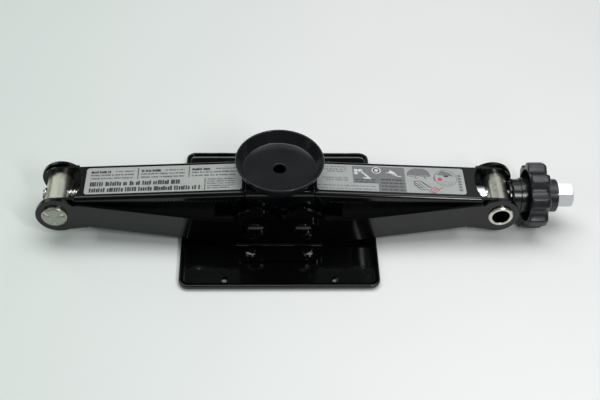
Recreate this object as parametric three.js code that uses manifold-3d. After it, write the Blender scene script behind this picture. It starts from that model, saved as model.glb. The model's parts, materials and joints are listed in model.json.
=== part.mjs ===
// Scissor car jack, lowered. Millimetres, +Z up, origin on the ground under the middle of the base.
// +X runs along the lead screw towards the turning knob, and -Y is the front.
import * as THREE from 'three';
import { mergeVertices } from 'three/addons/utils/BufferGeometryUtils.js';
import Module from 'manifold-3d';

const wasm = await Module();
wasm.setup();

// ---------------------------------------------------------------- driving dimensions

const PIVOT_X = 19.5;                 // base and head pivots stand this far either side of the middle
const TRUNNION_X = 185;
const TRUNNION_Z = 30;
const BASE_PIVOT_Z = 24;
const HEAD_PIVOT_Z = 2 * TRUNNION_Z - BASE_PIVOT_Z;
const REACH = TRUNNION_X - PIVOT_X;   // arm length along X while the jack is lowered
const PIVOT_DROP = TRUNNION_Z - BASE_PIVOT_Z;
const SHEET = 2.8;                    // sheet steel of the arms and the head bracket
const GAP = 0.3;                      // clearance left between pieces that touch

// Facets round a full turn, for the cup and knob, for shafts, and for rivets and their holes.
const FINE = 44;
const MEDIUM = 28;
const COARSE = 18;

// Distances from the middle plane, y = 0, to the outer face of each layer of sheet.
const UPPER_OUT = 20;
const HEAD_OUT = 25.2;
const LOWER_EAR_OUT = 23.3;
const LOWER_BASE_OUT = 30.6;
const UPRIGHT_IN = LOWER_BASE_OUT + 0.5;
const UPRIGHT_OUT = UPRIGHT_IN + 3;

const LOWER_EAR_R = 17.9;
const LOWER_EAR_CENTRE = [2, -1];     // in [reach, height] from the trunnion's axis
const UPPER_EAR_R = 14.5;
const TRUNNION_R = 10.4;
const LEFT_TRUNNION_HALF = 27;
const RIGHT_TRUNNION_HALF = 25.6;
const TRUNNION_BORE_R = 7.2;
const TRUNNION_BORE_DEPTH = 16;
const RIVET_SHANK_R = 5;

// The stub gear teeth at the inner ends of the arms. Their pitch radius is PIVOT_X.
const TOOTH_STEP = 20;
const TIP_R = PIVOT_X + 1.1;
const ROOT_R = PIVOT_X - 1.5;
const TIP_HALF = 2.9;
const ROOT_HALF = 6.1;

const BASE_LENGTH = 164.6;
const BASE_WIDTH = 157.3;
const BASE_CORNER_R = 8;
const BASE_T = 2.5;
const BASE_LIP_Z = 5.5;
const BASE_LIP_T = 2.2;

const HEAD_HALF_LENGTH = 28;
const HEAD_TOP_Z = 58.5;
const CUP_RIM_R = 36.6;
const CUP_RIM_Z = 71.8;
const CUP_FLOOR_Z = 61.5;
const CUP_FLOOR_R = 30.3;
const CUP_HOLE_R = 5.5;

const SCREW_R = 6;
const SCREW_START_X = -197;
const SCREW_END_X = 236;
const COLLAR_R = 8.5;
const COLLAR_X = [161, 174.2];
const SLEEVE_R = 15;
const SLEEVE_X = [196.5, 212];
const KNOB_R = 28.5;
const KNOB_X = [209.5, 225.7];
const KNOB_HUB_R = 14;
const KNOB_HUB_END_X = 235.5;
const KNOB_LOBES = 8;
const KNOB_TURN = 14;                 // degrees, to the middle of the first lobe
const KNOB_SCALLOP = 4.5;             // depth of the finger scallops between the lobes
const HEX_FLATS = 19;
const HEX_X = [215, 249.6];
const HEX_TURN = 11;                  // degrees

// ---------------------------------------------------------------- colours and finishes

const finish = (color, roughness, metalness) => ({ color, roughness, metalness });
const GLOSS_BLACK = finish(0x0c0c0e, 0.18, 0.1);
const SATIN_BLACK = finish(0x1b1c1f, 0.42, 0.1);
const SADDLE_BLACK = finish(0x24262a, 0.5, 0.1);
const KNOB_PLASTIC = finish(0x34343c, 0.45, 0.0);
const YELLOW_ZINC = finish(0xb3b79f, 0.35, 0.9);
const WHITE_ZINC = finish(0xc8ccd2, 0.3, 0.95);
const SCREW_STEEL = finish(0x9fa19e, 0.32, 0.95);
const STICKER = finish(0xaeb3b1, 0.4, 0.3);

// ---------------------------------------------------------------- geometry helpers

const radians = THREE.MathUtils.degToRad;
const polar = (x, y, r, degrees) => [x + r * Math.cos(radians(degrees)), y + r * Math.sin(radians(degrees))];

// Points along an arc from one angle to another, in degrees, both ends included.
function arc(x, y, r, from, to, steps = 8) {
  return Array.from({ length: steps + 1 }, (_, i) => polar(x, y, r, from + ((to - from) * i) / steps));
}

function extruded(points, depth) {
  const shape = new THREE.Shape(points.map(([x, y]) => new THREE.Vector2(x, y)));
  return new THREE.ExtrudeGeometry(shape, { depth, bevelEnabled: false });
}

// Outlines drawn in (x, y), (x, z) and (y, z), each made thick along the third axis.
function alongZ(points, z0, z1) {
  return extruded(points, z1 - z0).translate(0, 0, z0);
}

function alongY(points, y0, y1) {
  return extruded(points, y1 - y0).rotateX(Math.PI / 2).translate(0, y1, 0);
}

function alongX(points, x0, x1) {
  const turn = new THREE.Matrix4().makeBasis(
    new THREE.Vector3(0, 1, 0),
    new THREE.Vector3(0, 0, 1),
    new THREE.Vector3(1, 0, 0),
  );
  return extruded(points, x1 - x0).applyMatrix4(turn).translate(x0, 0, 0);
}

// A turned piece from a closed profile of [radius, place along the axis], listed upwards outside.
function turned(profile, axis, segments = MEDIUM) {
  const geometry = new THREE.LatheGeometry(profile.map(([r, a]) => new THREE.Vector2(r, a)), segments);
  if (axis === 'z') geometry.rotateX(Math.PI / 2);
  if (axis === 'x') geometry.rotateZ(-Math.PI / 2);
  return geometry;
}

// A plain round bar, used as a rod or as a cutter.
function bar(r, from, to, axis, segments = MEDIUM) {
  return turned([[0, from], [r, from], [r, to], [0, to]], axis, segments);
}

function solid(geometry) {
  const bare = new THREE.BufferGeometry();
  bare.setAttribute('position', geometry.attributes.position);
  if (geometry.index) bare.setIndex(geometry.index);
  const merged = mergeVertices(bare, 1e-4);
  const corners = merged.index.array;
  const kept = [];
  for (let i = 0; i < corners.length; i += 3) {
    const [a, b, c] = corners.subarray(i, i + 3);
    if (a !== b && b !== c && c !== a) kept.push(a, b, c);
  }
  return new wasm.Manifold(new wasm.Mesh({
    numProp: 3,
    vertProperties: merged.attributes.position.array,
    triVerts: new Uint32Array(kept),
  }));
}

function geometryOf(manifold) {
  const { vertProperties, triVerts } = manifold.getMesh();
  const geometry = new THREE.BufferGeometry();
  geometry.setAttribute('position', new THREE.BufferAttribute(vertProperties, 3));
  geometry.setIndex(new THREE.BufferAttribute(triVerts, 1));
  geometry.computeVertexNormals();
  return geometry;
}

const joined = (geometries) => geometries.map(solid).reduce((all, next) => all.add(next));
const without = (body, cutters) => cutters.map(solid).reduce((left, cutter) => left.subtract(cutter), body);

const jack = new THREE.Group();

// Adds a named piece at a place in the jack.
function add(name, geometry, look, [x, y, z] = [0, 0, 0]) {
  const mesh = new THREE.Mesh(geometry, new THREE.MeshStandardMaterial(look));
  mesh.name = name;
  mesh.position.set(x, y, z);
  jack.add(mesh);
}

const SIDES = [['left', -1], ['right', 1]];
const FACES = [['front', -1], ['back', 1]];

// ---------------------------------------------------------------- base

function roundedRectangle(length, width, r) {
  const x = length / 2 - r;
  const y = width / 2 - r;
  return [
    ...arc(x, y, r, 0, 90, 6),
    ...arc(-x, y, r, 90, 180, 6),
    ...arc(-x, -y, r, 180, 270, 6),
    ...arc(x, -y, r, 270, 360, 6),
  ];
}

const FOOT_RIVET_PLACES = [-24, 24];
const FOOT_RIVET_Y = 43;
const FOOT_RIVET_R = 3;

// A pressed tray with an upturned lip, two raised ribs across it and four locating dimples.
function basePlate() {
  const rib = { x: 66, length: 120, width: 11, top: BASE_T + 0.6 };
  const dimple = { x: 45, y: 69.5, r: 3, top: BASE_T + 0.7 };
  const innerLength = BASE_LENGTH - 2 * BASE_LIP_T;
  const innerWidth = BASE_WIDTH - 2 * BASE_LIP_T;
  const outer = alongZ(roundedRectangle(BASE_LENGTH, BASE_WIDTH, BASE_CORNER_R), 0, BASE_LIP_Z);
  const inner = alongZ(
    roundedRectangle(innerLength, innerWidth, BASE_CORNER_R - BASE_LIP_T),
    BASE_T,
    BASE_LIP_Z + 1,
  );
  let plate = without(solid(outer), [inner]);
  for (const [, side] of SIDES) {
    const raised = alongZ(roundedRectangle(rib.width, rib.length, rib.width / 2 - 0.5), 1, rib.top);
    plate = plate.add(solid(raised.translate(side * rib.x, 0, 0)));
    for (const [, face] of FACES) {
      const bump = bar(dimple.r, 1, dimple.top, 'z', 12);
      plate = plate.add(solid(bump.translate(side * dimple.x, face * dimple.y, 0)));
    }
  }
  const holes = FOOT_RIVET_PLACES.flatMap((x) => FACES.map(
    ([, face]) => bar(FOOT_RIVET_R + GAP, -1, BASE_T + 1, 'z', 12).translate(x, face * FOOT_RIVET_Y, 0),
  ));
  return geometryOf(without(plate, holes));
}

// One of the two angle brackets: an upright that carries the lower arms' pivots, and a foot turned outwards.
function baseBracket(face) {
  const bottom = BASE_T + 0.2;
  const top = 31;
  const footTop = bottom + SHEET;
  const footEnd = 51;
  const upright = alongY([
    [-53.5, bottom], [53.5, bottom], [53.5, 9],
    ...arc(26, 23.5, 7.5, 20, 90, 4), ...arc(-26, 23.5, 7.5, 90, 160, 4), [-53.5, 9],
  ].map(([x, z]) => [x, Math.min(z, top)]), UPRIGHT_IN, UPRIGHT_OUT);
  const foot = alongZ([
    [-36, UPRIGHT_IN], [36, UPRIGHT_IN],
    ...arc(30, footEnd - 6, 6, 0, 90, 4), ...arc(-30, footEnd - 6, 6, 90, 180, 4),
  ], bottom, footTop);
  const pivots = SIDES.map(([, side]) => bar(
    RIVET_SHANK_R + GAP, UPRIGHT_IN - 1, UPRIGHT_OUT + 1, 'y', COARSE,
  ).translate(side * PIVOT_X, 0, BASE_PIVOT_Z));
  const rivets = FOOT_RIVET_PLACES.map((x) => bar(
    FOOT_RIVET_R + GAP, 0, footTop + 1, 'z', 12,
  ).translate(x, FOOT_RIVET_Y, 0));
  const bracket = without(joined([upright, foot]), [...pivots, ...rivets]);
  return geometryOf(face < 0 ? bracket.rotate([0, 0, 180]) : bracket);
}

// A round-headed rivet through a bracket's foot, its tail flush in the base plate.
function footRivet() {
  const seat = BASE_T + 0.2 + SHEET + GAP;
  return turned([
    [0, GAP], [FOOT_RIVET_R, GAP], [FOOT_RIVET_R, seat], [5.6, seat],
    [4.8, seat + 1.5], [0, seat + 2.3],
  ], 'z', 12);
}

// A pivot rivet lying along +Y: a domed head outside and a flat upset tail inside.
function pivotRivet({ tailFrom, tailTo, tailR, headFrom, headTo, headR }) {
  const rise = headTo - headFrom;
  return turned([
    [0, tailFrom], [tailR, tailFrom], [tailR, tailTo],
    [RIVET_SHANK_R, tailTo], [RIVET_SHANK_R, headFrom], [headR, headFrom],
    [headR * 0.8, headFrom + rise * 0.7], [headR * 0.4, headTo], [0, headTo],
  ], 'y', COARSE);
}

function addBase() {
  add('base_plate', basePlate(), GLOSS_BLACK);
  for (const [faceName, face] of FACES) {
    add(`base_bracket_${faceName}`, baseBracket(face), GLOSS_BLACK);
    FOOT_RIVET_PLACES.forEach((x, i) => {
      const sideName = SIDES[i][0];
      add(`foot_rivet_${faceName}_${sideName}`, footRivet(), GLOSS_BLACK, [x, face * FOOT_RIVET_Y, 0]);
    });
    for (const [sideName, side] of SIDES) {
      const rivet = pivotRivet({
        tailFrom: 25.9, tailTo: 27.4, tailR: 6, headFrom: UPRIGHT_OUT + GAP, headTo: 36.9, headR: 7.5,
      });
      if (face < 0) rivet.rotateZ(Math.PI);
      add(`base_pivot_rivet_${faceName}_${sideName}`, rivet, GLOSS_BLACK, [side * PIVOT_X, 0, BASE_PIVOT_Z]);
    }
  }
}

// ---------------------------------------------------------------- arms

// Arm outlines are drawn in [reach, height] from the trunnion's axis, with reach towards the middle.
const armPoints = (points, side) => points.map(([reach, height]) => [-side * reach, height]);

// Gear teeth about a pivot, at angles counted from straight inwards, positive upwards.
function teeth(height, firstAngle, count, direction) {
  return Array.from({ length: count }, (_, i) => firstAngle + direction * i * TOOTH_STEP).flatMap((angle) => [
    polar(REACH, height, ROOT_R, angle - direction * ROOT_HALF),
    polar(REACH, height, TIP_R, angle - direction * TIP_HALF),
    polar(REACH, height, TIP_R, angle + direction * TIP_HALF),
    polar(REACH, height, ROOT_R, angle + direction * ROOT_HALF),
  ]);
}

// The left arms' first tooth points straight inwards, and the right arms' teeth meet the gaps between.
const firstTooth = (side) => (side < 0 ? 0 : TOOTH_STEP / 2);
const toothCount = (side) => (side < 0 ? 5 : 4);

// A lower arm flares from a narrow outer end to its full width nearer the base.
const LOWER_FLARE = [25, 123];
const lowerBottom = (reach) => -16.4 - (reach - LOWER_FLARE[0]) * (10.2 / 110);

function lowerSideOutline(side) {
  return armPoints([
    ...arc(...LOWER_EAR_CENTRE, LOWER_EAR_R, 40, 304, 18),
    [LOWER_FLARE[0], lowerBottom(LOWER_FLARE[0])],
    [135, lowerBottom(135)],
    ...arc(REACH, -PIVOT_DROP, ROOT_R, -90, -14, 4),
    ...teeth(-PIVOT_DROP, firstTooth(side), toothCount(side), 1),
    ...arc(REACH, -PIVOT_DROP, PIVOT_X, 92, 160, 5),
    [140.5, 0.4],
    [123, 1.8],
    [25, 9.9],
  ], side);
}

const upperTop = (reach) => 14.6 + reach * (8 / REACH);
const UPPER_FLANGE = 6;
const UPPER_WEB_END = 156;

function upperSideOutline(side) {
  return armPoints([
    ...arc(0, 0, UPPER_EAR_R, 336, 90, 14),
    [17, upperTop(17)],
    [UPPER_WEB_END, upperTop(UPPER_WEB_END)],
    ...arc(REACH, PIVOT_DROP, 16.5, 90, 8, 4),
    ...teeth(PIVOT_DROP, -firstTooth(side), toothCount(side), -1),
    ...arc(REACH, PIVOT_DROP, ROOT_R, -92, -160, 4),
    [145, upperTop(145) - UPPER_FLANGE - 4],
    [141, upperTop(141) - UPPER_FLANGE],
    [34, upperTop(34) - UPPER_FLANGE],
  ], side);
}

// A flange as seen from above: parallel to the screw at the ear, then flaring out to the base.
function lowerFlangePlan(side, face) {
  const outer = [[-20, LOWER_EAR_OUT], [LOWER_FLARE[0], LOWER_EAR_OUT], [LOWER_FLARE[1], LOWER_BASE_OUT]];
  outer.push([190, LOWER_BASE_OUT]);
  const inner = outer.map(([reach, y]) => [reach, y - SHEET]).reverse();
  return armPoints([...outer, ...inner], side).map(([x, y]) => [x, face * y]);
}

const TALL = 45;                      // more than any arm's half height, for crossing outlines

// A side outline thinned to the two flanges, plus the web that joins them, with its four round holes.
function channelArm({ side, outline, flangePlan, webBand, webPlan, pivotHeight }) {
  const flanges = joined(FACES.map(([, face]) => alongZ(flangePlan(side, face), -TALL, TALL)));
  const plates = solid(alongY(outline(side), -TALL, TALL)).intersect(flanges);
  const web = solid(alongY(armPoints(webBand, side), -TALL, TALL))
    .intersect(solid(alongZ(armPoints(webPlan, side), -TALL, TALL)));
  return geometryOf(without(plates.add(web), [
    bar(TRUNNION_R + GAP, -TALL, TALL, 'y'),
    bar(RIVET_SHANK_R + GAP, -TALL, TALL, 'y', COARSE).translate(-side * REACH, 0, pivotHeight),
  ]));
}

function lowerArm(side) {
  const start = LOWER_FLARE[0];
  const end = 130;
  return channelArm({
    side,
    outline: lowerSideOutline,
    flangePlan: lowerFlangePlan,
    webBand: [
      [start, lowerBottom(start)], [end, lowerBottom(end)],
      [end, lowerBottom(end) + SHEET], [start, lowerBottom(start) + SHEET],
    ],
    webPlan: [
      [start, -LOWER_EAR_OUT], [LOWER_FLARE[1], -LOWER_BASE_OUT], [end, -LOWER_BASE_OUT],
      [end, LOWER_BASE_OUT], [LOWER_FLARE[1], LOWER_BASE_OUT], [start, LOWER_EAR_OUT],
    ],
    pivotHeight: -PIVOT_DROP,
  });
}

function upperFlangePlan(side, face) {
  const faces = [face * UPPER_OUT, face * (UPPER_OUT - SHEET)];
  return armPoints([[-20, faces[0]], [190, faces[0]], [190, faces[1]], [-20, faces[1]]], side);
}

// The web's outer end is cut back in a shallow curve round the trunnion.
function upperArm(side) {
  const start = 17;
  const end = UPPER_WEB_END;
  return channelArm({
    side,
    outline: upperSideOutline,
    flangePlan: upperFlangePlan,
    webBand: [
      [start, upperTop(start)], [end, upperTop(end)],
      [end, upperTop(end) - SHEET], [start, upperTop(start) - SHEET],
    ],
    webPlan: [
      [start, -UPPER_OUT], [end, -UPPER_OUT], [end, UPPER_OUT], [start, UPPER_OUT],
      ...arc(-15.7, 0, 36.4, 25, -25, 6),
    ],
    pivotHeight: PIVOT_DROP,
  });
}

// A thin printed sticker lying on the web of an upper arm.
function sticker(side, reachFrom, reachTo) {
  const lift = 0.15;
  const thickness = 0.25;
  const r = 2.5;
  const halfWidth = 15.2;
  const middle = (reachFrom + reachTo) / 2;
  const plan = roundedRectangle(reachTo - reachFrom, 2 * halfWidth, r).map(([x, y]) => [x + middle, y]);
  const band = [
    [reachFrom - 1, upperTop(reachFrom - 1) + lift],
    [reachTo + 1, upperTop(reachTo + 1) + lift],
    [reachTo + 1, upperTop(reachTo + 1) + lift + thickness],
    [reachFrom - 1, upperTop(reachFrom - 1) + lift + thickness],
  ];
  const slab = solid(alongY(armPoints(band, side), -TALL, TALL));
  return geometryOf(slab.intersect(solid(alongZ(armPoints(plan, side), -TALL, TALL))));
}

const STICKER_REACH = { left: [24.5, 154], right: [29.5, 154] };

function addArms() {
  for (const [sideName, side] of SIDES) {
    const trunnion = [side * TRUNNION_X, 0, TRUNNION_Z];
    add(`lower_arm_${sideName}`, lowerArm(side), SATIN_BLACK, trunnion);
    add(`upper_arm_${sideName}`, upperArm(side), SATIN_BLACK, trunnion);
    add(`label_${sideName}`, sticker(side, ...STICKER_REACH[sideName]), STICKER, trunnion);
  }
}

// ---------------------------------------------------------------- head and saddle

// An inverted channel over the four inner arm ends, with a centre hole under the cup's own.
function headBracket() {
  const underside = HEAD_TOP_Z - 3;
  const inside = HEAD_OUT - SHEET;
  const cheek = alongY([
    [-HEAD_HALF_LENGTH, HEAD_TOP_Z], [HEAD_HALF_LENGTH, HEAD_TOP_Z],
    [HEAD_HALF_LENGTH, 40], ...arc(PIVOT_X, HEAD_PIVOT_Z, 9.5, 10, -90, 6),
    ...arc(-PIVOT_X, HEAD_PIVOT_Z, 9.5, -90, -190, 6), [-HEAD_HALF_LENGTH, 40],
  ], -HEAD_OUT, HEAD_OUT);
  const r = 3;
  const tunnel = alongX([
    [-inside, 0], [inside, 0],
    ...arc(inside - r, underside - r, r, 0, 90, 4), ...arc(-inside + r, underside - r, r, 90, 180, 4),
  ], -HEAD_HALF_LENGTH - 1, HEAD_HALF_LENGTH + 1);
  const crown = alongX([
    [-HEAD_OUT, 0], [HEAD_OUT, 0],
    ...arc(HEAD_OUT - 4, HEAD_TOP_Z - 4, 4, 0, 90, 5), ...arc(4 - HEAD_OUT, HEAD_TOP_Z - 4, 4, 90, 180, 5),
  ], -HEAD_HALF_LENGTH, HEAD_HALF_LENGTH);
  const pivots = SIDES.map(([, side]) => bar(
    RIVET_SHANK_R + GAP, -TALL, TALL, 'y', COARSE,
  ).translate(side * PIVOT_X, 0, HEAD_PIVOT_Z));
  const centreHole = bar(CUP_HOLE_R, underside - 1, HEAD_TOP_Z + 1, 'z', COARSE);
  return geometryOf(without(solid(cheek).intersect(solid(crown)), [tunnel, centreHole, ...pivots]));
}

// A round pressed dish with a flared wall.
function saddleCup() {
  const bottom = HEAD_TOP_Z + GAP;
  return turned([
    [CUP_HOLE_R, bottom], [CUP_FLOOR_R - 0.8, bottom], [CUP_FLOOR_R + 1.4, bottom + 1.2],
    [CUP_RIM_R, CUP_RIM_Z - 0.8], [CUP_RIM_R - 0.7, CUP_RIM_Z], [CUP_RIM_R - 1.7, CUP_RIM_Z],
    [CUP_FLOOR_R, CUP_FLOOR_Z], [CUP_HOLE_R, CUP_FLOOR_Z], [CUP_HOLE_R, bottom],
  ], 'z', FINE);
}

// A spacer on a head pivot, between an upper arm and the bracket's cheek.
function spacer() {
  const hole = RIVET_SHANK_R + GAP;
  const from = UPPER_OUT + GAP;
  const to = HEAD_OUT - SHEET - GAP;
  return turned([[hole, from], [8, from], [8, to], [hole, to], [hole, from]], 'y', COARSE);
}

function addHead() {
  add('head_bracket', headBracket(), GLOSS_BLACK);
  add('saddle_cup', saddleCup(), SADDLE_BLACK);
  for (const [faceName, face] of FACES) {
    for (const [sideName, side] of SIDES) {
      const place = [side * PIVOT_X, 0, HEAD_PIVOT_Z];
      const rivet = pivotRivet({
        tailFrom: 15.3, tailTo: 16.9, tailR: 6, headFrom: HEAD_OUT + GAP, headTo: 27.4, headR: 5.6,
      });
      const washer = spacer();
      if (face < 0) {
        rivet.rotateZ(Math.PI);
        washer.rotateZ(Math.PI);
      }
      add(`head_pivot_rivet_${faceName}_${sideName}`, rivet, GLOSS_BLACK, place);
      add(`head_spacer_${faceName}_${sideName}`, washer, SATIN_BLACK, place);
    }
  }
}

// ---------------------------------------------------------------- trunnions

// The screw passes through both trunnions along X, in a hole with running clearance.
function crossHole() {
  return bar(SCREW_R + GAP, -TALL, TALL, 'x');
}

function leftTrunnion() {
  const end = LEFT_TRUNNION_HALF;
  const body = turned([
    [0, -end], [TRUNNION_R - 1.2, -end], [TRUNNION_R, 1 - end],
    [TRUNNION_R, end - 1], [TRUNNION_R - 1.2, end], [0, end],
  ], 'y');
  return geometryOf(without(solid(body), [crossHole()]));
}

// The right trunnion has a turned recess in each end and a flat for the thrust washer.
const THRUST_FLAT = 9;
function rightTrunnion() {
  const end = RIGHT_TRUNNION_HALF;
  const deep = end - TRUNNION_BORE_DEPTH;
  const body = turned([
    [0, -deep], [TRUNNION_BORE_R, -deep], [TRUNNION_BORE_R, -end], [TRUNNION_R - 0.8, -end],
    [TRUNNION_R, 0.8 - end], [TRUNNION_R, end - 0.8], [TRUNNION_R - 0.8, end],
    [TRUNNION_BORE_R, end], [TRUNNION_BORE_R, deep], [0, deep],
  ], 'y');
  const flat = new THREE.BoxGeometry(4, 29, 2 * TRUNNION_R).translate(THRUST_FLAT + 2, 0, 0);
  return geometryOf(without(solid(body), [crossHole(), flat]));
}

function addTrunnions() {
  add('trunnion_nut_left', leftTrunnion(), YELLOW_ZINC, [-TRUNNION_X, 0, TRUNNION_Z]);
  add('trunnion_right', rightTrunnion(), YELLOW_ZINC, [TRUNNION_X, 0, TRUNNION_Z]);
}

// ---------------------------------------------------------------- screw, bearing and knob

// A ring on the screw's axis, from a list of [outer radius, place] from end to end.
function ring(holeR, outline, segments = MEDIUM) {
  const first = outline[0][1];
  const last = outline[outline.length - 1][1];
  return turned([[holeR, first], ...outline, [holeR, last], [holeR, first]], 'x', segments);
}

function leadScrew() {
  const chamfer = 1.2;
  return turned([
    [0, SCREW_START_X], [SCREW_R - chamfer, SCREW_START_X], [SCREW_R, SCREW_START_X + chamfer],
    [SCREW_R, SCREW_END_X], [0, SCREW_END_X],
  ], 'x');
}

// A hexagonal drive nut, chamfered outside and blind inside, where the screw's end is fixed.
function driveHex() {
  const corner = HEX_FLATS / 2 / Math.cos(Math.PI / 6);
  const hexagon = Array.from({ length: 6 }, (_, i) => polar(0, 0, corner, HEX_TURN + 60 * i));
  const turnedEnds = turned([
    [0, HEX_X[0]], [corner, HEX_X[0]], [corner, HEX_X[1] - 1.6], [corner - 2.4, HEX_X[1]], [0, HEX_X[1]],
  ], 'x');
  const socket = bar(SCREW_R + GAP, HEX_X[0] - 1, SCREW_END_X + GAP, 'x');
  const prism = solid(alongX(hexagon, HEX_X[0], HEX_X[1]));
  return geometryOf(without(prism.intersect(solid(turnedEnds)), [socket]));
}

// The knob's rim: narrow lobes, and broad finger scallops between them that are steepest at their edges.
function knobOutline() {
  const pitch = 360 / KNOB_LOBES;
  const lobeHalf = 7.5;
  const scallopHalf = pitch / 2 - lobeHalf;
  const dips = [1, 2.5, 5.5, 10].map((step) => [
    lobeHalf + step,
    KNOB_R - KNOB_SCALLOP * (1 - (1 - step / scallopHalf) ** 2),
  ]);
  return Array.from({ length: KNOB_LOBES }, (_, i) => KNOB_TURN + i * pitch).flatMap((middle) => [
    ...dips.toReversed().map(([off, r]) => polar(0, 0, r, middle - off)),
    ...arc(0, 0, KNOB_R, middle - lobeHalf, middle + lobeHalf, 2),
    ...dips.map(([off, r]) => polar(0, 0, r, middle + off)),
  ]);
}

// A lobed plastic knob, open towards the bearing, with a split hub that grips the drive nut.
function knob() {
  const backWall = 3.5;
  const boss = HEX_X[0];
  const corner = (HEX_FLATS / 2 + GAP) / Math.cos(Math.PI / 6);
  const hexagon = Array.from({ length: 6 }, (_, i) => polar(0, 0, corner, HEX_TURN + 60 * i));
  const lobed = solid(alongX(knobOutline(), KNOB_X[0], KNOB_X[1]));
  const edges = solid(turned([
    [0, KNOB_X[0]], [KNOB_R - 1, KNOB_X[0]], [KNOB_R + 0.2, KNOB_X[0] + 1.2],
    [KNOB_R + 0.2, KNOB_X[1] - 2], [KNOB_R - 2, KNOB_X[1]], [0, KNOB_X[1]],
  ], 'x', FINE));
  const hub = solid(bar(KNOB_HUB_R, boss, KNOB_HUB_END_X, 'x'));
  const hollow = ring(KNOB_HUB_R, [[22, KNOB_X[0] - 1], [21, KNOB_X[1] - backWall]]);
  const mouth = bar(KNOB_HUB_R + 1, KNOB_X[0] - 1, boss, 'x');
  const slots = Array.from({ length: 6 }, (_, i) => new THREE.BoxGeometry(7, 1.6, 6)
    .translate(KNOB_HUB_END_X, 0, KNOB_HUB_R)
    .rotateX(radians(HEX_TURN + 60 * i)));
  const socket = alongX(hexagon, boss - 1, KNOB_HUB_END_X + 1);
  return geometryOf(without(lobed.intersect(edges).add(hub), [hollow, mouth, socket, ...slots]));
}

function addScrewTrain() {
  const axis = [0, 0, TRUNNION_Z];
  const hole = SCREW_R + GAP;
  const washerX = [TRUNNION_X + THRUST_FLAT + GAP, SLEEVE_X[0] - GAP];
  const [from, to] = SLEEVE_X;
  add('lead_screw', leadScrew(), SCREW_STEEL, axis);
  add('thrust_washer', ring(hole, [[12.5, washerX[0]], [12.5, washerX[1]]]), SATIN_BLACK, axis);
  add('retaining_collar', ring(hole, [
    [COLLAR_R - 0.8, COLLAR_X[0]], [COLLAR_R, COLLAR_X[0] + 0.8],
    [COLLAR_R, COLLAR_X[1] - 0.8], [COLLAR_R - 0.8, COLLAR_X[1]],
  ]), WHITE_ZINC, axis);
  add('bearing_sleeve', ring(hole, [
    [SLEEVE_R - 1, from], [SLEEVE_R, from + 1], [SLEEVE_R, to - 2], [SLEEVE_R - 2, to],
  ]), SATIN_BLACK, axis);
  add('drive_hex', driveHex(), WHITE_ZINC, axis);
  add('knob', knob(), KNOB_PLASTIC, axis);
}

addBase();
addArms();
addHead();
addTrunnions();
addScrewTrain();

export default jack;
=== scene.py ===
"""The looks of a lowered scissor car jack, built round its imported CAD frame.

Outlines are drawn in millimetres and each finished mesh is in metres. +X runs along the lead screw to
the knob, -Y is the front and +Z is up. Arms are drawn in (reach, height) from their trunnion's axis,
with reach counted towards the middle.
"""

import json
import math
import random
from contextlib import contextmanager

import bmesh
import bpy
from mathutils import Matrix, Vector, noise


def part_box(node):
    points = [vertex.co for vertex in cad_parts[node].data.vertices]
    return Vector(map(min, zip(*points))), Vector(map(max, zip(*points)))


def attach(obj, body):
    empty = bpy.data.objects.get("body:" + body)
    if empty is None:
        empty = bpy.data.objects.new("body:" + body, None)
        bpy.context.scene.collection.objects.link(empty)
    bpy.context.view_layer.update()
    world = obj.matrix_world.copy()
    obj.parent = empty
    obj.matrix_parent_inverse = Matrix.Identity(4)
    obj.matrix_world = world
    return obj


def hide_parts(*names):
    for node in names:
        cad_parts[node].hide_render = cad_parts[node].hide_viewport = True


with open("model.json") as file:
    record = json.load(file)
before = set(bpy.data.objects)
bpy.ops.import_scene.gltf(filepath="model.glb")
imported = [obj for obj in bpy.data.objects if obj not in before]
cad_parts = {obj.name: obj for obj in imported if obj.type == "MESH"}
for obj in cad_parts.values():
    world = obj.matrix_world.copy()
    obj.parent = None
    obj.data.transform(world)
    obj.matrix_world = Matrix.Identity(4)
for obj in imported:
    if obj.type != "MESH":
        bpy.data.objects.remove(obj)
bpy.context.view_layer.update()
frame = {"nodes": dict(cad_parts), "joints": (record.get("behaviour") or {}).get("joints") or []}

MM = 0.001
SIDES = (("left", -1), ("right", 1))
FACES = (("front", -1), ("back", 1))
TALL = 60.0                      # further than any arm reaches from its axis, for crossing outlines


def corners(node):
    """Lowest and highest corner of a CAD node, in millimetres."""
    low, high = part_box(node)
    return low / MM, high / MM


def pivot(joint):
    """A joint's place, in millimetres."""
    return next(Vector(j["pos_m"]) / MM for j in frame["joints"] if j["name"] == joint)


# -------------------- driving sizes, from the frame

TRUNNION_X = pivot("right_elbow").x
TRUNNION_Z = pivot("right_elbow").z
PIVOT_X = pivot("right_base_pivot").x
BASE_PIVOT_Z = pivot("right_base_pivot").z
HEAD_PIVOT_Z = pivot("head_level").z
REACH = TRUNNION_X - PIVOT_X
PIVOT_DROP = TRUNNION_Z - BASE_PIVOT_Z

SHEET = 2.8
BEND_R = 4.0                     # outside radius of the brackets' bends
ARM_BEND_R = 3.4                 # outside radius of the arms' bends
EDGE_R = 0.45                    # rolled edge of punched sheet
GAP = 0.3                        # clearance between pieces that touch
UPPER_OUT = corners("upper_arm_left")[1].y
HEAD_OUT = corners("head_bracket")[1].y
LOWER_EAR_OUT = 23.3             # outer faces of the ears
LOWER_EAR_CENTRE = (2.0, -1.0)   # in (reach, height)
LOWER_EAR_R = LOWER_EAR_CENTRE[0] - TRUNNION_X - corners("lower_arm_left")[0].x
LOWER_BASE_OUT = corners("lower_arm_left")[1].y
TRUNNION_R = 10.4
TRUNNION_BORE_R = 7.2            # the hollow ends of the right trunnion
PIN_END = corners("trunnion_nut_left")[1].y
SHANK_R = 5.0                    # shanks of the pivot rivets
CROSS_HOLE_R = 6.1               # holes across the trunnions, for the screw
SCREW_FIT_R = 6.2                # collar, washer and sleeve round the screw
HEX_FLATS = 19.0
HEX_TURN = 11.0                  # degrees

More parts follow.
